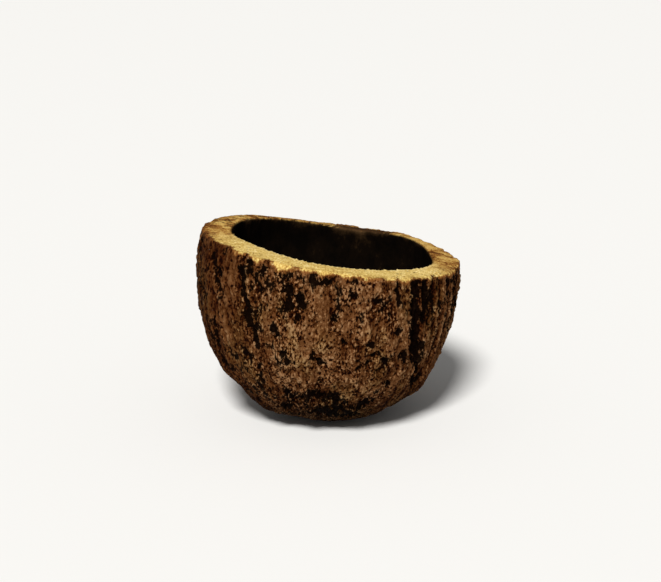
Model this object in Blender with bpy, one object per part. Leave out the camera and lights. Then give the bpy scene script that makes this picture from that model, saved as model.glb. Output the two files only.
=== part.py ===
"""A Brazil nut pod, emptied and sawn open at a slant, so that it stands as a thick-walled cup.

Metres, +Z up. The origin is the centre of the small flat foot that the pod stands on, and +Z is
the pod's own axis, from foot to mouth. The mouth is lowest towards +X and a little lower towards +Y.
The pod is one grown piece of woody husk, so it is one object.
"""

import math

import bmesh
import bpy

MM = 0.001

# The pod's outside: a round body, a little taller than a ball and fuller than an ellipse.
EQUATOR_RADIUS = 55.0 * MM
EQUATOR_HEIGHT = 59.3 * MM
BASE_DEPTH = 61.3 * MM  # from the equator to where the base would end if it weren't flattened
FULLNESS = 2.28  # 2 would make the outline an ellipse
FOOT_EDGE = 0.9 * MM  # height over which the foot turns into the side

# The husk's wall.
WALL = 11.7 * MM
FLOOR = 9.5 * MM

# The saw cut across the top, and its two worn edges.
CUT_HEIGHT = 73.7 * MM  # on the pod's axis
CUT_FALL_X = math.tan(math.radians(8.4))
CUT_FALL_Y = math.tan(math.radians(2.7))
OUTER_LIP = 1.6 * MM
INNER_LIP = 0.7 * MM

# Broad ridges that run from foot to mouth: (how many, how high, where the first one stands).
RIDGES = (
    (2, 0.50 * MM, math.radians(40)),
    (3, 0.40 * MM, math.radians(205)),
    (5, 0.35 * MM, math.radians(75)),
    (9, 0.30 * MM, math.radians(12)),
    (14, 0.25 * MM, math.radians(130)),
)
RIDGES_START = 3.0 * MM  # height above the foot where the ridges begin
RIDGES_FULL = 30.0 * MM  # and where they reach their full height

# How finely the round shape is divided.
STEPS = 96
OUTSIDE_ROWS = 14
LIP_ROWS = 2
CAVITY_ROWS = 10

HUSK_COLOUR = (0.20, 0.11, 0.045, 1.0)


def clear_scene():
    for thing in list(bpy.data.objects):
        bpy.data.objects.remove(thing)


def round_radius(height, radius, depth):
    """Radius at a height of a round body that has this radius and depth at the pod's equator."""
    share = min(1.0, abs(height - EQUATOR_HEIGHT) / depth)
    return radius * math.sqrt(1.0 - share**FULLNESS)


def outside_radius(height):
    return round_radius(height, EQUATOR_RADIUS, BASE_DEPTH)


def cavity_radius(height):
    return round_radius(height, EQUATOR_RADIUS - WALL, EQUATOR_HEIGHT - FLOOR)


def spaced(low, high, rows):
    """Heights from low to high that crowd towards the low end, where the outline turns fastest."""
    return [low + (high - low) * (row / rows) ** 1.7 for row in range(rows + 1)]


def wall_profile():
    """The wall's section as (radius, height) points, with the mouth still level."""
    points = [(0.0, 0.0), (outside_radius(0.0), 0.0)]
    for height in spaced(FOOT_EDGE, CUT_HEIGHT - OUTER_LIP, OUTSIDE_ROWS):
        points.append((outside_radius(height), height))
    outer = outside_radius(CUT_HEIGHT) - OUTER_LIP
    for row in range(1, LIP_ROWS + 1):
        turn = 0.5 * math.pi * row / LIP_ROWS
        points.append(
            (outer + OUTER_LIP * math.cos(turn), CUT_HEIGHT - OUTER_LIP * (1.0 - math.sin(turn)))
        )
    inner = cavity_radius(CUT_HEIGHT)
    points.append((inner + INNER_LIP, CUT_HEIGHT))
    for height in reversed(spaced(FLOOR, CUT_HEIGHT - INNER_LIP, CAVITY_ROWS)):
        points.append((cavity_radius(height), height))
    return points


def turn_wall():
    """A closed bmesh turned about Z from the wall's section, which starts and ends on the axis."""
    bm = bmesh.new()
    verts = [bm.verts.new((radius, 0.0, height)) for radius, height in wall_profile()]
    edges = [bm.edges.new(pair) for pair in zip(verts, verts[1:])]
    bmesh.ops.spin(
        bm,
        geom=verts + edges,
        cent=(0.0, 0.0, 0.0),
        axis=(0.0, 0.0, 1.0),
        angle=2.0 * math.pi,
        steps=STEPS,
        use_merge=True,
    )
    bmesh.ops.remove_doubles(bm, verts=bm.verts, dist=0.001 * MM)
    bmesh.ops.recalc_face_normals(bm, faces=bm.faces)
    return bm


def slant_mouth(bm):
    """Stretches the wall up or down to the slanting cut, keeping it on the pod's round outline."""
    for vert in bm.verts:
        x, y, z = vert.co
        cut = CUT_HEIGHT - x * CUT_FALL_X - y * CUT_FALL_Y
        height = z * cut / CUT_HEIGHT
        shrink = outside_radius(height) / outside_radius(z)
        vert.co = (x * shrink, y * shrink, height)


def ridge(angle, height):
    """How far the ridges stand out from the round body here."""
    share = (height - RIDGES_START) / (RIDGES_FULL - RIDGES_START)
    share = min(1.0, max(0.0, share))
    fade = share * share * (3.0 - 2.0 * share)
    return fade * sum(size * math.cos(count * (angle - first)) for count, size, first in RIDGES)


def raise_ridges(bm):
    """Moves the outside in and out. The cavity stays round, and the cut face spans the two."""
    for vert in bm.verts:
        x, y, z = vert.co
        radius = math.hypot(x, y)
        within = EQUATOR_RADIUS - WALL
        share = (radius - within) / (outside_radius(z) - within)
        outside = 1.0 if z < FLOOR else min(1.0, max(0.0, share))
        if radius > 0.0:
            grown = 1.0 + outside * ridge(math.atan2(y, x), z) / radius
            vert.co = (x * grown, y * grown, z)


def husk_material():
    material = bpy.data.materials.new("woody_husk")
    material.use_nodes = True
    shader = material.node_tree.nodes["Principled BSDF"]
    shader.inputs["Base Color"].default_value = HUSK_COLOUR
    shader.inputs["Roughness"].default_value = 0.9
    shader.inputs["Metallic"].default_value = 0.0
    return material


def make_pod():
    bm = turn_wall()
    slant_mouth(bm)
    raise_ridges(bm)
    mesh = bpy.data.meshes.new("pod_husk")
    bm.to_mesh(mesh)
    bm.free()
    pod = bpy.data.objects.new("pod_husk", mesh)
    bpy.context.scene.collection.objects.link(pod)
    mesh.materials.append(husk_material())
    mesh.shade_smooth()
    mesh.set_sharp_from_angle(angle=math.radians(50))
    return pod


clear_scene()
make_pod()
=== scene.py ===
"""A Brazil nut pod, emptied and sawn open at a slant, standing on its small flat foot.

The one piece is the pod's husk. Everything is in metres, +Z up, with the foot at the origin.
"""

import math
import random

import bmesh
import bpy
import numpy as np
from mathutils import Matrix, Vector, noise


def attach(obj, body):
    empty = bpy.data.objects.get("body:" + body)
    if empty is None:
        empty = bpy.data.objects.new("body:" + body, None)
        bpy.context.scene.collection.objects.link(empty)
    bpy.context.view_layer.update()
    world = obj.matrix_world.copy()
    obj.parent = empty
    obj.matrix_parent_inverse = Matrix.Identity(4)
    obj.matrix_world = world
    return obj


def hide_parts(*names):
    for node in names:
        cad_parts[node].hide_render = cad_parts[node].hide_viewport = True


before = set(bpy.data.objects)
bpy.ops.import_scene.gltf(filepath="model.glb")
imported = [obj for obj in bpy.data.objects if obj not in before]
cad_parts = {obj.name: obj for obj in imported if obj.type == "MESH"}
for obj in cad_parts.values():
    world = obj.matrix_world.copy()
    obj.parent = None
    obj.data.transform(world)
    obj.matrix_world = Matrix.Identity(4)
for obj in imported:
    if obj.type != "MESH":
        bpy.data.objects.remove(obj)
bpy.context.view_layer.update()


# ---------------------------------------------------------------------------------------------
# The husk: a thick woody shell that grew in one piece, round and furrowed like bark outside. Its
# seeds are out and its top is sawn off at a slant, which leaves a pale cut face round the mouth
# and a dark, bare hollow. It stands on a small spot that is worn flat.

MM = 0.001

EQUATOR_RADIUS = 55.0 * MM
EQUATOR_HEIGHT = 59.3 * MM
BASE_DEPTH = 61.3 * MM
FULLNESS = 2.28  # 2 would make the outline an ellipse
WALL = 11.7 * MM
FLOOR = 9.5 * MM
CUT_HEIGHT = 73.7 * MM
CUT_FALL_X = math.tan(math.radians(8.4))
CUT_FALL_Y = math.tan(math.radians(2.7))
OUTER_LIP = 1.2 * MM
INNER_LIP = 0.6 * MM
CUT_CROWN = 0.6 * MM  # how much lower the cut's outer edge is than its inner one

SECTORS = 12
SECTOR_STEPS = 44
FOOT_ROWS = 8
LOW_ROWS = 36
HIGH_ROWS = 96
LIP_ROWS = 4
CUT_ROWS = 16
CAVITY_ROWS = 26


def round_turn(height, depth):
    """How far round the outline a height is: 0 at the equator, a quarter turn at the pole."""
    share = (EQUATOR_HEIGHT - height) / depth
    return math.copysign(math.asin(abs(share) ** (FULLNESS / 2)), share)


def round_point(turn, radius, depth):
    """(radius, height) at that turn on a round body, a little fuller than an ellipse."""
    drop = math.copysign(abs(math.sin(turn)) ** (2 / FULLNESS), turn)
    return radius * math.cos(turn), EQUATOR_HEIGHT - depth * drop


def spread(low, high, rows, power=1.0):
    return [low + (high - low) * (row / rows) ** power for row in range(rows + 1)]


def outside_section():
    """The bark's outline from the middle of the foot up to where the lip begins."""
    foot = round_turn(0.0, BASE_DEPTH)
    knee = math.radians(45)
    brim = round_turn(CUT_HEIGHT - OUTER_LIP, BASE_DEPTH)
    turns = spread(foot, knee, LOW_ROWS) + spread(knee, brim, HIGH_ROWS)[1:]
    side = [round_point(turn, EQUATOR_RADIUS, BASE_DEPTH) for turn in turns]
    return [(radius, 0.0) for radius in spread(0.0, side[0][0], FOOT_ROWS)[:-1]] + side


def lip_section(edge):
    """The worn outer edge, from the bark over to the cut face."""
    turns = spread(0.0, 0.5 * math.pi, LIP_ROWS)[1:]
    return [
        (edge + OUTER_LIP * math.cos(turn), CUT_HEIGHT - OUTER_LIP * (1.0 - math.sin(turn)))
        for turn in turns
    ]


def cavity_section():
    """The hollow's outline from just inside the mouth down to the middle of its floor."""
    radius, depth = EQUATOR_RADIUS - WALL, EQUATOR_HEIGHT - FLOOR
    brink = round_turn(CUT_HEIGHT - INNER_LIP, depth)
    turns = spread(brink, 0.5 * math.pi, CAVITY_ROWS, power=1.5)
    return [round_point(turn, radius, depth) for turn in turns]


def cut_section(edge, inner):
    """The sawn face, from the outer edge to the inner one."""
    return [(radius, CUT_HEIGHT) for radius in spread(edge, inner + INNER_LIP, CUT_ROWS)[1:]]


def turned_wall():
    """The wall turned about Z, and how far along its section each stretch ends.

    Each vertex keeps how far along the section it lies, from the middle of the foot, up the
    bark, over the cut and down to the middle of the hollow's floor.
    """
    outside = outside_section()
    cavity = cavity_section()
    edge = outside[-1][0] - OUTER_LIP
    stretches = [outside, lip_section(edge), cut_section(edge, cavity[0][0]), cavity]
    bm = bmesh.new()
    along = bm.verts.layers.float.new("along")
    verts = []
    ends = []
    for stretch in stretches:
        for radius, height in stretch:
            vert = bm.verts.new((radius, 0.0, height))
            if verts:
                vert[along] = verts[-1][along] + (vert.co - verts[-1].co).length
            verts.append(vert)
        ends.append(verts[-1][along])
    edges = [bm.edges.new(pair) for pair in zip(verts, verts[1:])]
    bmesh.ops.spin(
        bm,
        geom=verts + edges,
        cent=(0.0, 0.0, 0.0),
        axis=(0.0, 0.0, 1.0),
        angle=2.0 * math.pi / SECTORS,
        steps=SECTOR_STEPS,
    )
    sector = bm.verts[:] + bm.edges[:] + bm.faces[:]
    for number in range(1, SECTORS):
        copy = bmesh.ops.duplicate(bm, geom=sector)["geom"]
        bmesh.ops.rotate(
            bm,
            verts=[part for part in copy if isinstance(part, bmesh.types.BMVert)],
            cent=(0.0, 0.0, 0.0),
            matrix=Matrix.Rotation(2.0 * math.pi * number / SECTORS, 3, "Z"),
        )
    bmesh.ops.remove_doubles(bm, verts=bm.verts, dist=0.002 * MM)
    bmesh.ops.recalc_face_normals(bm, faces=bm.faces)
    return bm, ends


def outside_radius(height):
    share = np.abs(height - EQUATOR_HEIGHT) / BASE_DEPTH
    return EQUATOR_RADIUS * np.sqrt(np.maximum(0.0, 1.0 - share**FULLNESS))


def cut_height(place):
    """How high the slanting cut is above each place."""
    return CUT_HEIGHT - place[:, 0] * CUT_FALL_X - place[:, 1] * CUT_FALL_Y


def slanted(place):
    """The places moved up or down to meet the slanting cut, still on the pod's round outline."""
    x, y, z = place.T
    height = z * cut_height(place) / CUT_HEIGHT
    shrink = outside_radius(height) / outside_radius(z)
    return np.stack([x * shrink, y * shrink, height], 1)


def step(values, low, high):
    """0 below low and 1 above high, with a smooth rise between. low may be the higher one."""
    share = np.clip((values - low) / (high - low), 0.0, 1.0)
    return share * share * (3.0 - 2.0 * share)


def cloud(places, grain, seed, octaves=2, coarse=1.0):
    """Smooth random values, from about -1 to 1, with lumps of about the grain's size."""
    start = Vector((seed * 7.31, seed * 3.77, seed * 5.13))
    found = (noise.fractal(start + Vector(p), coarse, 2.1, octaves) for p in places / grain)
    return np.fromiter(found, float, len(places))


def cells(places, grain, seed):
    """Distance to the nearest of many scattered points, in grains, and a random number for each."""
    start = Vector((seed * 7.31, seed * 3.77, seed * 5.13))
    near = np.empty(len(places))
    luck = np.empty(len(places))
    for number, p in enumerate(places / grain):
        distances, points = noise.voronoi(start + Vector(p))
        near[number] = distances[0]
        luck[number] = noise.cell(points[0] * 91.7)
    return near, luck


bm, (BARK_END, LIP_END, CUT_END, FLOOR_END) = turned_wall()
husk_mesh = bpy.data.meshes.new("pod_bark")
bm.to_mesh(husk_mesh)
bm.free()
husk_mesh.shade_smooth()


def vertex_vectors(mesh, source, key):
    found = np.empty(len(mesh.vertices) * 3, np.float32)
    source.foreach_get(key, found)
    return found.reshape(-1, 3).astype(float)


along = np.empty(len(husk_mesh.vertices), np.float32)
husk_mesh.attributes["along"].data.foreach_get("value", along)
along = along.astype(float)
husk_mesh.attributes.remove(husk_mesh.attributes["along"])

place = slanted(vertex_vectors(husk_mesh, husk_mesh.vertices, "co"))
husk_mesh.vertices.foreach_set("co", place.astype(np.float32).ravel())
husk_mesh.update()
normal = vertex_vectors(husk_mesh, husk_mesh.vertex_normals, "vector")

angle = np.arctan2(place[:, 1], place[:, 0])
radius = np.hypot(place[:, 0], place[:, 1])
height = place[:, 2]
# Fibres run from foot to mouth, so their patterns are read on a drum that is squeezed in height.
drum = np.stack(
    [EQUATOR_RADIUS * np.cos(angle), EQUATOR_RADIUS * np.sin(angle), height], 1
)


def fibres(stretch):
    return drum * (1.0, 1.0, 1.0 / stretch)


in_hollow = step(along, CUT_END, CUT_END + 2.0 * MM)
off_foot = step(height, 0.3 * MM, 7.0 * MM)  # the foot itself is worn smooth


def away_from(degrees):
    """How far round the pod each vertex is from a heading, in degrees, from -180 to 180."""
    return (np.degrees(angle) - degrees + 180.0) % 360.0 - 180.0


def facing(degrees, reach, soft):
    """1 within reach of a heading, in degrees, fading to 0 over the next soft degrees."""
    return step(np.abs(away_from(degrees)), reach + soft, reach)


def humps(rows):
    """The sum of many soft humps round the pod, each as (heading, reach in degrees, size)."""
    return sum(
        size * np.exp(-((away_from(heading) / reach) ** 2)) for heading, reach, size in rows
    )


RIDGES = (
    (2, 0.50 * MM, math.radians(40)),
    (3, 0.40 * MM, math.radians(205)),
    (5, 0.35 * MM, math.radians(75)),
    (9, 0.30 * MM, math.radians(12)),
    (14, 0.25 * MM, math.radians(130)),
)
RIDGES_START = 3.0 * MM
RIDGES_FULL = 30.0 * MM

# The tables that follow give each mark's heading in degrees and its lengths in millimetres.

# Where the pod bulges or is dented: (heading, height, reach round in degrees, reach up, rise).
SWELLINGS = (
    (-158.0, 18.0, 12.0, 5.0, -1.1),
    (-142.0, 9.0, 20.0, 5.0, 1.8),
    (-128.0, 3.0, 16.0, 4.0, -0.6),
    (-50.0, 6.0, 26.0, 7.0, 0.4),
    (-27.0, 17.5, 12.0, 3.8, 1.3),
    (-16.0, 18.0, 26.0, 13.0, 0.5),
    (-12.0, 40.0, 24.0, 16.0, -0.9),
    (50.0, 34.0, 20.0, 16.0, -0.9),
    (95.0, 20.0, 30.0, 15.0, 1.2),
    (130.0, 40.0, 24.0, 18.0, 0.9),
    (176.0, 54.0, 26.0, 20.0, 0.9),
)

# Where the cut runs higher or lower than a plane: (heading, reach in degrees, rise).
CUT_WAVES = (
    (-20.0, 20.0, 0.3),
    (42.0, 22.0, 1.3),
    (88.0, 26.0, -1.3),
    (146.0, 24.0, 0.7),
)

# Where the inner edge of the cut lies further out: (heading, reach in degrees, shift).
WALL_SHIFTS = (
    (-138.0, 22.0, -2.0),
    (-84.0, 24.0, 1.4),
    (-26.0, 18.0, 2.7),
    (8.0, 14.0, -0.3),
    (34.0, 26.0, 2.4),
    (106.0, 30.0, 3.6),
    (176.0, 16.0, -0.8),
)

# Where dark crust bites into the cut's golden face: (heading, reach in degrees, bite).
CRUST_BITES = (
    (-165.0, 9.0, 2.6),
    (-150.0, 8.0, 2.4),
    (-140.0, 6.0, 3.2),
    (-127.0, 3.0, 2.2),
    (-117.0, 3.0, 2.6),
    (-111.0, 2.5, -1.3),
    (-103.5, 3.0, 1.3),
    (-96.0, 2.0, 1.2),
    (-86.5, 3.0, 1.8),
    (-79.0, 2.0, 1.2),
    (-68.5, 4.6, 1.9),
    (-60.0, 1.6, 1.5),
    (-50.0, 4.0, 1.4),
    (-38.0, 4.0, 1.2),
    (-24.0, 6.0, 0.6),
    (0.0, 14.0, 1.2),
    (176.0, 10.0, 2.2),
)

# Furrows in the bark: (heading at the top, heading at the bottom, top, bottom, width, depth).
FURROWS = (
    (-163.0, -159.0, 74, 38, 1.5, 0.9),
    (-154.0, -150.0, 68, 34, 1.2, 0.7),
    (-147.0, -140.0, 77, 60, 1.5, 0.9),
    (-145.0, -146.5, 51, 37, 1.7, 0.8),
    (-129.4, -124.6, 75, 55, 2.6, 1.5),
    (-126.2, -122.3, 57, 44, 2.8, 1.6),
    (-123.4, -118.2, 75, 65, 1.2, 0.9),
    (-123.0, -123.6, 34, 27, 2.6, 1.0),
    (-60.2, -59.6, 73, 63, 1.2, 1.5),
    (-50.6, -49.0, 70, 38, 4.2, 2.2),
    (-46.4, -45.4, 41, 33, 4.4, 1.6),
    (-44.8, -44.4, 69, 51, 3.2, 1.6),
    (-42.8, -40.2, 31, 21, 3.2, 1.4),
    (-40.6, -40.4, 67, 46, 1.5, 1.0),
    (-35.0, -33.4, 66, 36, 1.4, 0.9),
    (-28.0, -27.0, 68, 30, 1.3, 0.8),
    (-19.0, -20.0, 64, 26, 1.6, 0.9),
)

# Crests that stand up between the furrows, in the same terms, with a rise in place of a depth.
CRESTS = (
    (-144.8, -140.0, 69, 56, 1.6, 0.5),
    (-141.4, -141.8, 50, 42, 1.0, 0.4),
    (-139.0, -137.4, 54, 46, 1.4, 0.5),
    (-135.4, -133.8, 44, 25, 1.0, 0.5),
    (-126.6, -124.0, 75, 62, 1.3, 0.5),
    (-110.0, -101.0, 62, 42, 1.2, 0.5),
    (-59.6, -58.0, 44, 36, 1.0, 0.4),
    (-53.9, -52.6, 68, 42, 0.7, 0.6),
    (-42.2, -38.2, 42, 30, 1.9, 0.5),
    (-37.4, -36.4, 66, 50, 0.9, 0.5),
    (-35.4, -31.8, 48, 34, 0.9, 0.5),
    (-30.8, -29.2, 66, 50, 0.9, 0.5),
    (-24.4, -24.0, 66, 44, 1.0, 0.5),
)

# Pits and scars: (heading, height, half its width, half its height, depth).
PITS = (
    (-156.3, 59.8, 2.2, 1.1, 0.8),
    (-152.0, 44.0, 1.6, 1.6, 0.8),
    (-146.5, 31.4, 1.8, 1.4, 0.9),
    (-141.6, 70.0, 1.2, 2.2, 1.0),
    (-139.9, 78.6, 1.6, 1.5, 1.0),
    (-138.6, 38.6, 1.5, 1.8, 0.9),
    (-135.1, 36.2, 1.6, 1.3, 0.9),
    (-128.0, 38.0, 2.0, 2.4, 1.0),
    (-124.2, 77.0, 1.6, 1.5, 1.0),
    (-118.0, 14.0, 3.0, 3.4, 0.8),
    (-117.8, 75.0, 1.2, 1.3, 1.0),
    (-113.5, 52.0, 1.4, 1.8, 1.0),
    (-112.0, 48.0, 1.2, 1.3, 0.9),
    (-111.0, 19.4, 2.4, 3.4, 0.8),
    (-108.7, 42.0, 1.4, 1.0, 0.8),
    (-108.0, 38.0, 1.6, 1.1, 0.9),
    (-107.2, 62.2, 1.8, 3.4, 1.1),
    (-106.4, 68.2, 1.5, 2.4, 1.1),
    (-104.8, 60.8, 1.3, 1.2, 1.0),
    (-102.5, 57.1, 1.3, 1.5, 1.0),
    (-102.0, 13.0, 2.6, 4.0, 0.8),
    (-101.4, 63.4, 1.9, 2.4, 1.5),
    (-99.0, 21.4, 3.8, 2.7, 1.0),
    (-96.6, 41.2, 0.7, 1.5, 1.4),
    (-96.1, 73.1, 1.6, 1.9, 1.2),
    (-94.6, 20.6, 2.4, 2.2, 1.1),
    (-94.4, 38.9, 1.4, 1.0, 1.3),
    (-93.0, 11.0, 6.4, 5.6, 1.0),
    (-92.0, 37.6, 1.1, 0.8, 1.3),
    (-91.6, 71.8, 2.8, 1.1, 1.3),
    (-87.8, 56.8, 1.4, 1.1, 1.0),
    (-86.5, 18.6, 2.0, 3.6, 1.1),
    (-85.0, 13.0, 2.2, 5.6, 1.0),
    (-83.4, 47.3, 1.4, 1.1, 1.0),
    (-80.5, 17.5, 1.2, 3.0, 0.7),
    (-79.8, 66.6, 1.7, 1.7, 1.0),
    (-79.0, 73.2, 1.5, 1.2, 0.9),
    (-76.9, 35.4, 0.8, 1.4, 0.8),
    (-76.8, 38.6, 1.2, 1.0, 0.9),
    (-76.3, 63.7, 1.1, 1.0, 0.8),
    (-76.0, 9.0, 4.0, 4.0, 0.8),
    (-72.0, 46.0, 1.4, 0.8, 0.9),
    (-71.8, 37.4, 0.8, 0.9, 0.7),
    (-70.9, 41.5, 1.9, 0.8, 1.1),
    (-70.5, 15.6, 3.4, 4.6, 1.0),
    (-69.4, 63.8, 2.0, 1.3, 0.9),
    (-66.4, 61.0, 1.6, 2.0, 0.9),
    (-66.2, 33.8, 1.5, 1.1, 1.0),
    (-64.8, 37.8, 1.1, 1.0, 1.0),
    (-63.4, 36.2, 1.2, 1.1, 1.0),
    (-63.2, 57.1, 1.2, 1.4, 0.8),
    (-60.0, 26.0, 1.6, 1.2, 0.9),
    (-59.1, 48.9, 1.1, 1.5, 1.0),
    (-55.2, 38.2, 1.7, 1.8, 1.1),
    (-50.6, 70.4, 1.6, 1.4, 1.0),
    (-42.4, 56.6, 2.8, 4.4, 1.2),
    (-38.0, 69.0, 1.5, 1.8, 0.9),
    (-37.0, 22.0, 2.2, 3.2, 0.9),
)

# Soiled patches, speckled rather than sunk, where those low by the foot are partly painted shade:
# (heading, height, half width, half height, strength).
SMUDGES = (
    (-160.0, 62.0, 9.0, 12.0, 0.46),
    (-158.0, 62.0, 6.0, 6.0, 0.42),
    (-150.0, 44.0, 9.0, 12.0, 0.42),
    (-137.0, 28.0, 9.0, 9.0, 0.48),
    (-130.0, 34.0, 6.0, 6.0, 0.38),
    (-127.0, 21.0, 7.0, 5.0, 0.62),
    (-127.0, 26.0, 5.0, 4.0, 0.45),
    (-127.0, 76.0, 3.0, 3.4, 0.50),
    (-124.0, 69.0, 3.4, 3.4, 0.46),
    (-120.5, 56.0, 3.0, 6.0, 0.60),
    (-119.5, 71.0, 3.0, 5.0, 0.56),
    (-114.4, 70.4, 3.2, 3.2, 0.60),
    (-112.0, 18.0, 6.0, 6.0, 0.44),
    (-111.5, 40.0, 4.4, 6.0, 0.50),
    (-110.0, 73.5, 6.0, 2.6, 0.62),
    (-106.0, 66.0, 3.8, 6.0, 0.50),
    (-101.0, 71.5, 5.0, 2.6, 0.50),
    (-98.0, 26.0, 3.4, 1.6, 0.42),
    (-93.0, 16.0, 9.0, 11.0, 0.44),
    (-90.0, 8.0, 18.0, 6.0, 0.46),
    (-83.6, 68.4, 3.0, 2.8, 0.60),
    (-83.0, 64.0, 3.2, 3.4, 0.50),
    (-78.0, 59.0, 2.6, 3.4, 0.42),
    (-67.5, 61.0, 3.8, 3.8, 0.52),
    (-64.0, 36.5, 3.2, 3.6, 0.45),
    (-62.0, 21.0, 4.0, 3.0, 0.50),
    (-56.5, 61.0, 1.8, 4.0, 0.42),
    (-45.0, 61.0, 4.2, 9.0, 0.56),
    (-27.0, 58.0, 8.0, 13.0, 0.46),
)

# Swellings of clean, pale cork: (heading, height, half width, half height, strength).
PALES = (
    (-149.5, 50.0, 1.3, 9.0, 0.6),
    (-138.0, 57.0, 1.5, 4.6, 1.0),
    (-138.0, 47.0, 1.2, 7.0, 0.8),
    (-134.2, 55.4, 2.2, 3.0, 0.9),
    (-134.0, 60.5, 1.2, 6.0, 0.9),
    (-118.3, 62.0, 1.0, 4.4, 0.4),
    (-115.0, 62.0, 1.5, 4.2, 0.7),
    (-111.5, 31.5, 3.4, 3.4, 0.9),
    (-105.7, 53.4, 1.6, 3.4, 1.0),
    (-101.5, 39.0, 2.0, 4.6, 0.9),
    (-99.2, 48.5, 1.8, 6.0, 1.0),
    (-94.5, 32.5, 3.0, 2.6, 0.7),
    (-93.6, 29.6, 3.2, 2.4, 0.9),
    (-93.4, 44.2, 2.4, 2.2, 0.8),
    (-92.0, 66.0, 4.2, 4.6, 0.6),
    (-89.4, 60.5, 2.2, 2.6, 0.8),
    (-89.0, 49.0, 3.2, 5.0, 1.0),
    (-89.0, 40.0, 2.4, 3.6, 0.8),
    (-82.0, 33.0, 2.8, 3.4, 0.5),
    (-76.9, 70.1, 1.8, 1.2, 1.0),
    (-73.5, 52.0, 2.8, 5.6, 0.6),
    (-66.0, 23.6, 2.6, 2.4, 0.8),
    (-66.0, 48.0, 3.0, 4.0, 0.7),
    (-62.9, 65.6, 1.5, 1.6, 1.0),
    (-56.3, 52.0, 1.2, 8.0, 0.8),
    (-56.0, 30.0, 2.4, 4.0, 0.9),
    (-52.5, 28.0, 2.2, 5.6, 0.8),
    (-37.0, 54.0, 0.8, 12.0, 0.8),
    (-36.0, 42.0, 5.0, 8.0, 0.7),
    (-31.0, 50.0, 0.8, 12.0, 0.7),
    (-24.0, 56.0, 0.9, 9.0, 0.6),
)
MARKED_SIDE = (-165.0, -15.0)  # the headings between which the marks above lie
OTHER_MARKS_SEED = 5


def scattered_marks(seed):
    """Furrows, pits, smudges and pale swellings like those above, for the rest of the bark."""
    dice = random.Random(seed)
    start = MARKED_SIDE[1]
    end = MARKED_SIDE[0] + 360.0
    furrows = []
    heading = start
    while heading < end - 8.0:
        top = dice.uniform(58, 78)
        bottom = dice.uniform(20, top - 14)
        width = dice.uniform(1.2, 3.2)
        lean = dice.uniform(-3.0, 3.0)
        furrows.append((heading + lean, heading - lean, top, bottom, width, 0.4 + 0.45 * width))
        heading += dice.uniform(7.0, 16.0)
    pits = []
    for _ in range(56):
        size = dice.uniform(0.8, 2.3)
        tall = size * dice.uniform(0.6, 1.5)
        spot = (dice.uniform(start, end), dice.uniform(22, 78))
        pits.append((*spot, size, tall, 0.6 + 0.3 * size))
    # Big dark patches low on the bark, near the foot, partly painted shade.
    for _ in range(5):
        spot = (dice.uniform(start, end), dice.uniform(12, 19))
        pits.append((*spot, dice.uniform(3, 6), dice.uniform(3, 5), 1.0))
    smudges = []
    for _ in range(16):
        spot = (dice.uniform(start, end), dice.uniform(14, 72))
        size = (dice.uniform(3, 8), dice.uniform(3, 11))
        smudges.append((*spot, *size, dice.uniform(0.36, 0.6)))
    pales = []
    for _ in range(22):
        spot = (dice.uniform(start, end), dice.uniform(26, 72))
        size = (dice.uniform(1, 4), dice.uniform(2, 7))
        pales.append((*spot, *size, dice.uniform(0.5, 1.0)))
    return furrows, pits, smudges, pales


# Ragged outlines come from reading each mark at a slightly shifted place.
shift_round = 1.5 * MM * cloud(place, 2.2 * MM, seed=11, octaves=3)
shift_round += 0.9 * MM * cloud(place, 7.0 * MM, seed=12)
shift_up = 2.2 * MM * cloud(place, 2.4 * MM, seed=13, octaves=3)
shift_up += 1.4 * MM * cloud(place, 7.0 * MM, seed=14)
uneven = 1.0 + 0.55 * cloud(fibres(1.8), 4.0 * MM, seed=15)


def furrow(top_heading, bottom_heading, top, bottom, width):
    """1 along the middle of a furrow, about 0.7 at its edges, and 0 well outside it."""
    top, bottom, width = top * MM, bottom * MM, width * MM
    share = np.clip((height - bottom) / (top - bottom), 0.0, 1.0)
    away = np.radians(away_from(bottom_heading + (top_heading - bottom_heading) * share))
    across = np.abs(away * radius + 0.8 * shift_round) / (0.5 * width * uneven)
    past = np.maximum(height + shift_up - top, bottom - height - shift_up) / (4.0 * MM)
    return step(across, 2.4, 0.2) * step(past, 1.0, -0.5)


def pit(heading, middle, half_width, half_height):
    """1 at the middle of a pit, about 0.7 at its rim, and 0 well outside it."""
    middle, half_width, half_height = middle * MM, half_width * MM, half_height * MM
    slope = 0.35 + 0.65 * step(middle, 0.0, 36.0 * MM)  # the bark turns under towards the foot
    slack = min(1.0, half_width / (2.6 * MM))
    across = (np.radians(away_from(heading)) * radius + slack * shift_round) / half_width
    up = (height - middle + slack * shift_up * slope) / (half_height * slope)
    return step(np.hypot(across, up), 2.7 * uneven, 0.0)


def strongest(shape, rows):
    """The strongest of many marks at each vertex. A row ends with its mark's strength."""
    found = np.zeros(len(place))
    for *numbers, strength in rows:
        found = np.maximum(found, strength * shape(*numbers))
    return found


# Furrows and pits darken the bark's colour, the deeper ones more, partly as soil in them and partly
# as painted shade. Their crumbling sides drop to a floor with a few crumbs on it.
more_furrows, more_pits, more_smudges, more_pales = scattered_marks(OTHER_MARKS_SEED)
crumbs = 0.45 * cloud(place, 1.5 * MM, seed=10)
stain = strongest(pit, SMUDGES + tuple(more_smudges))
sunk = np.zeros(len(place))
for shape, rows in ((furrow, FURROWS + tuple(more_furrows)), (pit, PITS + tuple(more_pits))):
    for *numbers, depth in rows:
        mark = shape(*numbers)
        soil_and_shade = min(1.25, 0.56 + 0.44 * depth)
        stain = np.maximum(stain, soil_and_shade * mark)
        sunk = np.maximum(sunk, depth * MM * step(mark + crumbs, 0.30, 0.95))
pale = strongest(pit, PALES + tuple(more_pales))
raised = strongest(furrow, CRESTS)

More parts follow.
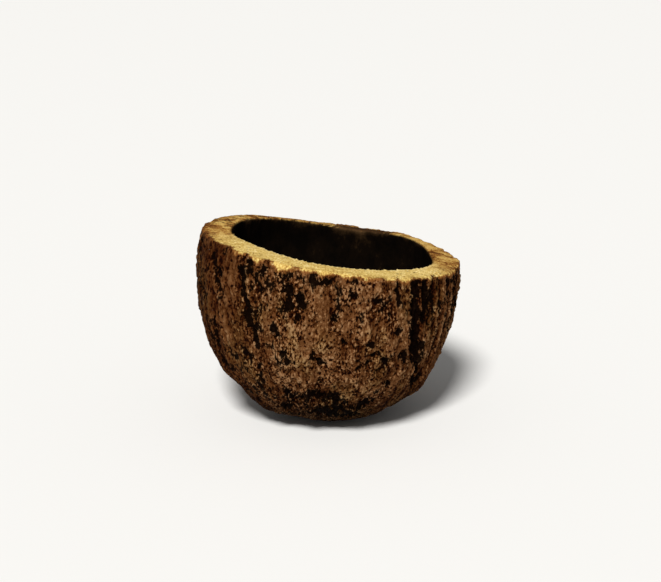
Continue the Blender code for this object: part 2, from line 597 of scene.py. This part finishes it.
swell = step(height, RIDGES_START, RIDGES_FULL) * sum(
    size * np.cos(count * (angle - first)) for count, size, first in RIDGES
)
for heading, middle, reach, tall, rise in SWELLINGS:
    spread_out = (away_from(heading) / reach) ** 2 + ((height / MM - middle) / tall) ** 2
    swell += rise * MM * np.exp(-spread_out)
lumps = 0.45 * MM * cloud(fibres(1.8), 13.0 * MM, seed=1, octaves=3)
lumps += 0.70 * MM * cloud(fibres(2.6), 6.0 * MM, seed=7)

# In front the bark is a crumbly cork, and to the right of that it splits into upright ribs. Both
# come back in patches on the far side.
patches = step(cloud(fibres(1.3), 30.0 * MM, seed=22), 0.0, 0.3)
crumbly = np.maximum(facing(-84.0, 20.0, 16.0), patches * (1.0 - facing(-90.0, 65.0, 20.0)))
crumbly += 0.9 * facing(-118.0, 8.0, 10.0) - 0.6 * facing(-152.0, 14.0, 10.0)
ribbed = np.maximum(facing(-28.0, 20.0, 8.0), patches * facing(60.0, 60.0, 20.0))


def creases(grain, width, seed):
    """1 along the winding lines where slow noise passes through zero."""
    warped = fibres(5.0) + np.stack([shift_round, shift_up, 0.4 * shift_up], 1)
    return np.exp(-((cloud(warped, grain, seed) / width) ** 2))


# Fissures, which open up in some stretches and are weaker in the crumbly cork.
opened = step(cloud(fibres(1.6), 20.0 * MM, seed=4), -0.25, 0.25)
fissures = 0.9 * creases(7.5 * MM, 0.085, seed=2) + 0.5 * creases(4.2 * MM, 0.11, seed=3)
fissures = fissures * (0.4 + 0.6 * opened) * (1.0 - 0.55 * crumbly)

# Clumps of cork, with deep gaps between some of them.
clumped = fibres(1.7) + np.stack([shift_round, shift_up, 0.7 * shift_up], 1)
clump = np.abs(cloud(clumped, 5.0 * MM, seed=23))
gaps = step(clump, 0.07, 0.01) * step(cloud(fibres(1.2), 5.0 * MM, seed=24), -0.05, 0.35)
clumps = 1.1 * np.minimum(clump, 0.5) - 0.3 - 0.5 * gaps

# Small holes, each at the middle of a cell, in about a third of the cells.
near, luck = cells(fibres(1.3), 2.6 * MM, seed=6)
holes = step(near, 0.42, 0.12) * step(luck, 0.25, 0.45)

# The finest relief: grit all over, and threads that are strongest on the ribs.
grit = cloud(fibres(1.7), 1.6 * MM, seed=8, octaves=3, coarse=0.6)
threads = cloud(fibres(9.0), 1.3 * MM, seed=9)

FISSURE_DEPTH = 0.75 * MM
HOLE_DEPTH = 0.50 * MM
PALE_RISE = 0.30 * MM
clump_size = np.maximum(0.2, 0.4 + 0.6 * crumbly) * MM
grit_size = (0.22 + 0.16 * crumbly) * MM
thread_size = (0.16 + 0.44 * ribbed) * MM
local = (
    clump_size * clumps
    + grit_size * grit
    + thread_size * threads
    + PALE_RISE * pale
    + MM * raised
    - FISSURE_DEPTH * fissures
    - HOLE_DEPTH * holes
    - sunk
)
edge_calm = 0.45 + 0.55 * step(along, BARK_END, BARK_END - 3.0 * MM)
relief = swell + (lumps + local * edge_calm) * off_foot

# On the cut face the bark's relief shows only as an uneven outer edge.
at_outer_edge = step(along, LIP_END + 5.0 * MM, LIP_END - 0.5 * MM)
outward = np.stack([np.cos(angle), np.sin(angle), np.zeros(len(angle))], 1)
bark_side = step(along, LIP_END, BARK_END)[:, None]
direction = bark_side * normal + (1.0 - bark_side) * outward
relief = relief * np.where(along < LIP_END, 1.0, at_outer_edge)
moved = place + direction * relief[:, None]

# The hollow isn't quite round: the wall is thinnest at the back and thickest at the front left.
inside = step(along, LIP_END, CUT_END) * step(along, CUT_END + 30.0 * MM, CUT_END + 8.0 * MM)
moved += outward * (inside * humps(WALL_SHIFTS) * MM)[:, None]

# The saw wandered a little. Its grain stands up, most of all along the notched inner edge.
SAW_GRAIN = 0.15 * MM
NOTCH_RISE = 0.35 * MM
NOTCH_BITE = 0.45 * MM
near_mouth = step(height / cut_height(place), 0.80, 1.0)
moved[:, 2] += near_mouth * humps(CUT_WAVES) * MM
across_cut = np.clip((along - LIP_END) / (CUT_END - LIP_END), 0.0, 1.0)
top_side = step(along, BARK_END - 1.0 * MM, LIP_END) * step(along, CUT_END + 6.0 * MM, CUT_END)
saw_grain = SAW_GRAIN * cloud(place, 1.3 * MM, seed=16)
crown = -CUT_CROWN * (1.0 - across_cut) ** 2
at_inner_edge = step(np.abs(along - CUT_END), 1.8 * MM, 0.2 * MM)
notches = at_inner_edge * cloud(drum * (1.0, 1.0, 0.0), 1.4 * MM, seed=17)
moved[:, 2] += top_side * (saw_grain + crown + NOTCH_RISE * notches)
moved -= outward * (NOTCH_BITE * notches)[:, None]

# The hollow is smooth, with faint fibres.
hollow_relief = 0.35 * MM * cloud(fibres(2.5), 12.0 * MM, seed=18, octaves=3)
hollow_relief += 0.12 * MM * cloud(fibres(5.0), 2.4 * MM, seed=19)
moved += normal * (in_hollow * hollow_relief)[:, None]

# Nothing hangs below the flat foot.
moved[:, 2] = np.where(along < BARK_END, np.maximum(moved[:, 2], 0.0), moved[:, 2])
husk_mesh.vertices.foreach_set("co", moved.astype(np.float32).ravel())
husk_mesh.update()


def keep(name, values):
    """Stores one number for each vertex, for the husk's material to read."""
    layer = husk_mesh.attributes.new(name, "FLOAT", "POINT")
    layer.data.foreach_set("value", values.astype(np.float32))


# What the material reads at each vertex, with lengths in millimetres.
crust = 0.8 * cloud(place, 2.6 * MM, seed=20) + 0.8 * cloud(place, 7.0 * MM, seed=21)
crust += humps(CRUST_BITES)
# The bark's tone follows its relief: lighter on what stands out and darker in cracks and holes, as
# painted highlight and painted shade. The pale cork patches are lighter too.
standing = (local + sunk + 0.15 * lumps) / MM + 0.15 * pale
standing += 0.16 * crumbly + 0.5 * ribbed * (threads - 0.1) - 0.06
below_mouth = (cut_height(place) - height) / MM
brown = facing(75.0, 5.0, 12.0) * step(below_mouth, 16.0, 2.0) + step(below_mouth, 3.5, 0.0)
on_cut = step(along, LIP_END + 0.5 * MM, LIP_END + 5.0 * MM)
keep("edge", (along - BARK_END) / MM - crust)
keep("hollow", step(along, CUT_END - 0.4 * MM, CUT_END + 0.8 * MM))
keep("standing", standing)
keep("brown", brown)
keep("stain", stain)
keep("crumbly", crumbly)
keep("worn", 1.0 - facing(-92.0, 52.0, 28.0))
keep("dusky", 0.8 * facing(70.0, 8.0, 15.0) * on_cut + 0.30 * facing(115.0, 50.0, 25.0))
keep("deep", in_hollow * step(below_mouth, 32.0, 56.0))
keep("rise", moved[:, 2] / MM)
keep("brim", step(np.abs(along - CUT_END), 1.5 * MM, 0.3 * MM))

# The husk's flat pattern: the bark and cut as one disc about the foot, the hollow as another.
BARK_DISC_MIDDLE = 0.39
BARK_DISC_RADIUS = 0.385
HOLLOW_DISC_MIDDLE = 0.81
HOLLOW_DISC_RADIUS = 0.185


def lay_flat(mesh):
    pattern = mesh.uv_layers.new(name="OFBake")
    corner_vertex = np.empty(len(mesh.loops), np.int32)
    mesh.loops.foreach_get("vertex_index", corner_vertex)
    face_of_corner = np.repeat(
        np.arange(len(mesh.polygons)), [len(face.vertices) for face in mesh.polygons]
    )
    corner_along = along[corner_vertex]
    face_along = np.bincount(face_of_corner, corner_along) / np.bincount(face_of_corner)
    in_hollow_disc = face_along[face_of_corner] > CUT_END
    corner_angle = angle[corner_vertex]
    outer = BARK_DISC_RADIUS * corner_along / CUT_END
    inner = HOLLOW_DISC_RADIUS * (FLOOR_END - corner_along) / (FLOOR_END - CUT_END)
    reach = np.where(in_hollow_disc, inner, outer)
    middle = np.where(in_hollow_disc, HOLLOW_DISC_MIDDLE, BARK_DISC_MIDDLE)
    flat = np.stack(
        [middle + reach * np.cos(corner_angle), middle + reach * np.sin(corner_angle)], 1
    )
    pattern.uv.foreach_set("vector", flat.astype(np.float32).ravel())


lay_flat(husk_mesh)


class Wire:
    """A node's output, on which Python's own sums add Math nodes."""

    def __init__(self, finish, socket):
        self.finish = finish
        self.socket = socket

    def maths(self, operation, *values):
        return self.finish.node("ShaderNodeMath", {"operation": operation}, values)

    def __add__(self, other):
        return self.maths("ADD", self, other)

    def __sub__(self, other):
        return self.maths("SUBTRACT", self, other)

    def __rsub__(self, other):
        return self.maths("SUBTRACT", other, self)

    def __mul__(self, other):
        return self.maths("MULTIPLY", self, other)

    __radd__ = __add__
    __rmul__ = __mul__


class Finish:
    """One material's nodes. node() adds any node and hands back its first output."""

    def __init__(self, name):
        self.material = bpy.data.materials.new(name)
        self.material.use_nodes = True
        self.tree = self.material.node_tree
        self.shader = self.tree.nodes["Principled BSDF"]

    def feed(self, socket, value):
        if isinstance(value, Wire):
            self.tree.links.new(value.socket, socket)
        else:
            socket.default_value = value

    def node(self, kind, settings, values=(), output=0):
        """settings go on the node first. values fill its inputs by order, or by name if a dict."""
        made = self.tree.nodes.new(kind)
        for key, setting in settings.items():
            if key == "stops":
                ramp = made.color_ramp.elements
                while len(ramp) < len(setting):
                    ramp.new(0.5)
                for element, (position, colour) in zip(ramp, setting):
                    element.position = position
                    element.color = (*colour, 1.0)
            else:
                setattr(made, key, setting)
        pairs = values.items() if isinstance(values, dict) else enumerate(values)
        for key, value in pairs:
            self.feed(made.inputs[key], value)
        return Wire(self, made.outputs[output])

    def kept(self, name):
        """A number that the mesh keeps for each vertex."""
        return self.node("ShaderNodeAttribute", {"attribute_name": name}, output=2)

    def coordinates(self, squeeze):
        """Object coordinates, squeezed in height for a pattern that runs from foot to mouth."""
        found = self.node("ShaderNodeTexCoord", {}, output=3)
        if squeeze == 1.0:
            return found
        return self.node(
            "ShaderNodeVectorMath",
            {"operation": "MULTIPLY"},
            (found, (1.0, 1.0, 1.0 / squeeze)),
        )

    def grain(self, size, squeeze=1.0, detail=2.0, roughness=0.5):
        """Noise from about 0.25 to 0.75, with lumps of that size in metres."""
        return self.node(
            "ShaderNodeTexNoise",
            {},
            {
                "Vector": self.coordinates(squeeze),
                "Scale": 0.5 / size,
                "Detail": detail,
                "Roughness": roughness,
            },
        )

    def stepped(self, value, low, high):
        return self.node(
            "ShaderNodeMapRange",
            {"interpolation_type": "SMOOTHSTEP"},
            {"Value": value, "From Min": low, "From Max": high},
        )

    def ramp(self, value, stops):
        return self.node("ShaderNodeValToRGB", {"stops": stops}, (value,))

    def mixed(self, share, first, second, blend="MIX"):
        """One colour into another."""
        made = self.tree.nodes.new("ShaderNodeMix")
        made.data_type = "RGBA"
        made.blend_type = blend
        self.feed(made.inputs[0], share)
        for socket, colour in ((made.inputs[6], first), (made.inputs[7], second)):
            self.feed(socket, colour if isinstance(colour, Wire) else (*colour, 1.0))
        return Wire(self, made.outputs[2])


# The bark's colours, from the bottom of a crack to a dry crest. Where the tone follows the relief,
# the dark end is painted shade and the pale end painted highlight.
BARK_TONES = (
    (0.00, (0.006, 0.0010, 0.0002)),
    (0.18, (0.020, 0.0040, 0.0008)),
    (0.34, (0.049, 0.0140, 0.0030)),
    (0.48, (0.078, 0.0285, 0.0078)),
    (0.62, (0.108, 0.0428, 0.0145)),
    (0.80, (0.155, 0.0700, 0.0260)),
    (1.00, (0.275, 0.1500, 0.0700)),
)
REDDENED = (1.0, 0.79, 0.60)  # this and the next are multiplied with the bark's colour
GREENED = (0.90, 1.06, 0.86)
# The black of soiled patches, and of furrows and pits, where it is partly painted shade.
SOIL_AND_SHADE_BLACK = (0.0022, 0.0006, 0.0001)
SHADE = (0.0, 0.0, 0.0)

# The cut face: fresh in front, and worn at the sides and the back.
FRESH_TONES = (
    (0.10, (0.300, 0.150, 0.036)),
    (0.35, (0.510, 0.335, 0.090)),
    (0.60, (0.660, 0.475, 0.145)),
    (0.90, (0.850, 0.670, 0.310)),
)
WORN_TONES = (
    (0.10, (0.105, 0.034, 0.0070)),
    (0.35, (0.300, 0.128, 0.0270)),
    (0.60, (0.430, 0.235, 0.0560)),
    (0.90, (0.600, 0.390, 0.1150)),
)
RUST = (0.23, 0.085, 0.020)
DUSK = (0.042, 0.019, 0.007)

# The hollow is the husk's own dark brown, painted darker still as painted shade. It is a little
# lighter just below the mouth, on a patch of the back wall and on its floor.
HOLLOW_TONES = (
    (0.40, (0.0018, 0.0011, 0.0006)),
    (0.62, (0.0045, 0.0025, 0.0012)),
    (0.76, (0.0220, 0.0115, 0.0045)),
    (1.00, (0.0900, 0.0480, 0.0190)),
)


def bark_colour(finish, speckle, mottle, dark):
    """Dry golden-brown cork flecked with umber and painted glints: painted highlight on what stands
    out, painted shade in cracks, and soiled to black, which in furrows and pits is partly painted
    shade.
    """
    patch = finish.grain(4.0 * MM, squeeze=2.8, detail=3.0)
    flecks = finish.stepped(speckle + 0.35 * (mottle - 0.5), 0.46, 0.34)
    # Painted glints: the brightest specks of the grain are lifted further.
    glints = finish.stepped(speckle, 0.56, 0.72)
    grain = 0.7 * (speckle - 0.5) - 0.42 * flecks + 0.34 * glints
    coarse = finish.stepped(finish.grain(2.6 * MM, squeeze=1.8, detail=3.0), 0.42, 0.60)
    tone = 0.55 + (0.62 + 0.42 * finish.kept("crumbly")) * (0.55 + 0.95 * coarse) * grain
    # Painted highlight and painted shade: the tone rises on what stands out and falls in cracks and
    # holes.
    tone = tone + 0.8 * (mottle - 0.5) + 0.9 * (patch - 0.5) + 0.50 * finish.kept("standing")
    dots = finish.node(
        "ShaderNodeTexVoronoi",
        {},
        {"Vector": finish.coordinates(squeeze=1.3), "Scale": 1.0 / (2.0 * MM)},
    )
    tone = tone - 0.6 * finish.stepped(dots + 0.8 * (speckle - 0.5), 0.30, 0.12)
    colour = finish.ramp(tone, BARK_TONES)
    reddish = finish.stepped(finish.grain(2.6 * MM, squeeze=2.0), 0.50, 0.66)
    colour = finish.mixed(0.30 * reddish, colour, REDDENED, "MULTIPLY")
    olive = finish.stepped(finish.grain(6.0 * MM, squeeze=2.0), 0.50, 0.64)
    colour = finish.mixed(0.45 * olive, colour, GREENED, "MULTIPLY")
    # Black where soiled, and in furrows and pits, where the black is partly painted shade.
    return finish.mixed(0.98 * dark, colour, SOIL_AND_SHADE_BLACK)


def sawn_colour(finish, speckle, inward):
    """Fresh golden wood in front, worn to a blotchy orange brown at the sides and the back."""
    dust = finish.grain(0.40 * MM, detail=1.0, roughness=0.6)
    blotch = finish.grain(3.0 * MM, detail=3.0, roughness=0.6)
    tone = 0.42 + 1.3 * (dust - 0.5) + 0.7 * (speckle - 0.5) + 0.14 * inward
    fresh = finish.ramp(tone + 0.7 * (blotch - 0.5) + 0.26 * finish.kept("brim"), FRESH_TONES)
    worn = finish.ramp(tone + 2.9 * (blotch - 0.5), WORN_TONES)
    return finish.mixed(finish.kept("worn"), fresh, worn)


def hollow_colour(finish):
    """Near-black brown, partly the husk's own dark brown and partly painted shade, a little lighter
    in places.
    """
    smear = finish.grain(4.0 * MM, squeeze=1.3, detail=4.0, roughness=0.7)
    return finish.ramp(
        smear + 0.21 * finish.kept("brown") + 0.26 * finish.kept("deep"), HOLLOW_TONES
    )


def husk_finish():
    finish = Finish("woody_husk")
    speckle = finish.grain(0.42 * MM, squeeze=1.6, detail=1.0, roughness=0.6)
    mottle = finish.grain(1.2 * MM, squeeze=2.0, detail=2.0, roughness=0.6)
    stain = finish.kept("stain")
    ragged = stain + 2.2 * (mottle - 0.5) - 0.9 * (speckle - 0.5)
    bark = bark_colour(finish, speckle, mottle, finish.stepped(ragged, 0.36, 0.70))
    # Painted shade: the bark is painted darker towards the foot, down to near black, where it turns
    # under away from the light. The big dark pits and smudges low on the bark add to it.
    painted_foot_shade = finish.stepped(finish.kept("rise"), 24.0, 4.0)
    bark = finish.mixed(0.68 * painted_foot_shade, bark, SHADE)

    # The saw's edge is ragged: a rusty brown line, and dark crust that bites into the gold.
    edge = finish.kept("edge")
    bitten = edge + 3.6 * (mottle - 0.5) + 3.0 * (speckle - 0.5) - 1.1 * stain
    bark = finish.mixed(0.8 * finish.stepped(bitten, -2.6, -0.9), bark, RUST)
    sawn = finish.stepped(bitten, -1.3, 0.1)
    gold = sawn_colour(finish, speckle, finish.stepped(edge, 0.0, 5.0))
    dusky = finish.kept("dusky") + 2.2 * (mottle - 0.5) + 1.4 * (speckle - 0.5)
    gold = finish.mixed(finish.stepped(dusky, 0.25, 0.75), gold, DUSK)
    colour = finish.mixed(sawn, bark, gold)
    hollow = finish.kept("hollow")
    colour = finish.mixed(hollow, colour, hollow_colour(finish))
    finish.feed(finish.shader.inputs["Base Color"], colour)

    grains = finish.grain(0.45 * MM, squeeze=1.3, detail=2.0, roughness=0.7)
    finish.feed(finish.shader.inputs["Roughness"], 0.80 + 0.25 * grains)
    finish.shader.inputs["Specular IOR Level"].default_value = 0.02
    texture = (grains + 0.8 * mottle) * (1.0 - 0.6 * sawn) * (1.0 - 0.5 * hollow)
    bump = finish.node(
        "ShaderNodeBump",
        {},
        {"Height": texture, "Strength": 0.9, "Distance": 0.7 * MM},
    )
    finish.feed(finish.shader.inputs["Normal"], bump)
    return finish.material


husk = bpy.data.objects.new("pod_bark", husk_mesh)
bpy.context.scene.collection.objects.link(husk)
husk_mesh.materials.append(husk_finish())
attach(husk, "root")
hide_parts("pod_husk")


# ---------------------------------------------------------------------------------------------
# The set: a plain pale floor under one broad, soft light, with a weak even light all round.

FLOOR_HALF = 4.0
FLOOR_COLOUR = (0.86, 0.86, 0.85, 1.0)
LIGHT_FROM = (-0.20, -0.88, 0.95)  # in front, above and a little to the left
LIGHT_COLOUR = (1.0, 0.985, 0.96)
AIR_COLOUR = (1.0, 0.99, 0.97, 1.0)
CAMERA_PLACE = (0.0009, -0.602, 0.2267)
CAMERA_DIP = 16.12  # degrees below level


def floor_finish():
    finish = Finish("pale_floor")
    finish.shader.inputs["Base Color"].default_value = FLOOR_COLOUR
    finish.shader.inputs["Roughness"].default_value = 0.9
    return finish.material


floor_bm = bmesh.new()
bmesh.ops.create_grid(floor_bm, x_segments=1, y_segments=1, size=FLOOR_HALF)
floor_mesh = bpy.data.meshes.new("floor")
floor_bm.to_mesh(floor_mesh)
floor_bm.free()
floor_mesh.materials.append(floor_finish())
floor = bpy.data.objects.new("floor", floor_mesh)
bpy.context.scene.collection.objects.link(floor)

softbox = bpy.data.lights.new("softbox", "SUN")
softbox.energy = 4.0
softbox.angle = math.radians(14.0)
softbox.color = LIGHT_COLOUR
stand = bpy.data.objects.new("softbox", softbox)
stand.rotation_euler = Vector(LIGHT_FROM).to_track_quat("Z", "Y").to_euler()
bpy.context.scene.collection.objects.link(stand)

world = bpy.data.worlds.new("studio_air")
world.use_nodes = True
air = world.node_tree.nodes["Background"]
air.inputs["Color"].default_value = AIR_COLOUR
air.inputs["Strength"].default_value = 0.20
bpy.context.scene.world = world

# A long lens, a little above the mouth, that looks at the pod's crumbly front.
camera = bpy.data.cameras.new("camera")
camera.lens = 80.4
camera.sensor_width = 36.0
view = bpy.data.objects.new("camera", camera)
view.location = CAMERA_PLACE
view.rotation_euler = (math.radians(90.0 - CAMERA_DIP), 0.0, 0.0)
bpy.context.scene.collection.objects.link(view)
bpy.context.scene.camera = view
bpy.context.scene.view_settings.view_transform = "Standard"
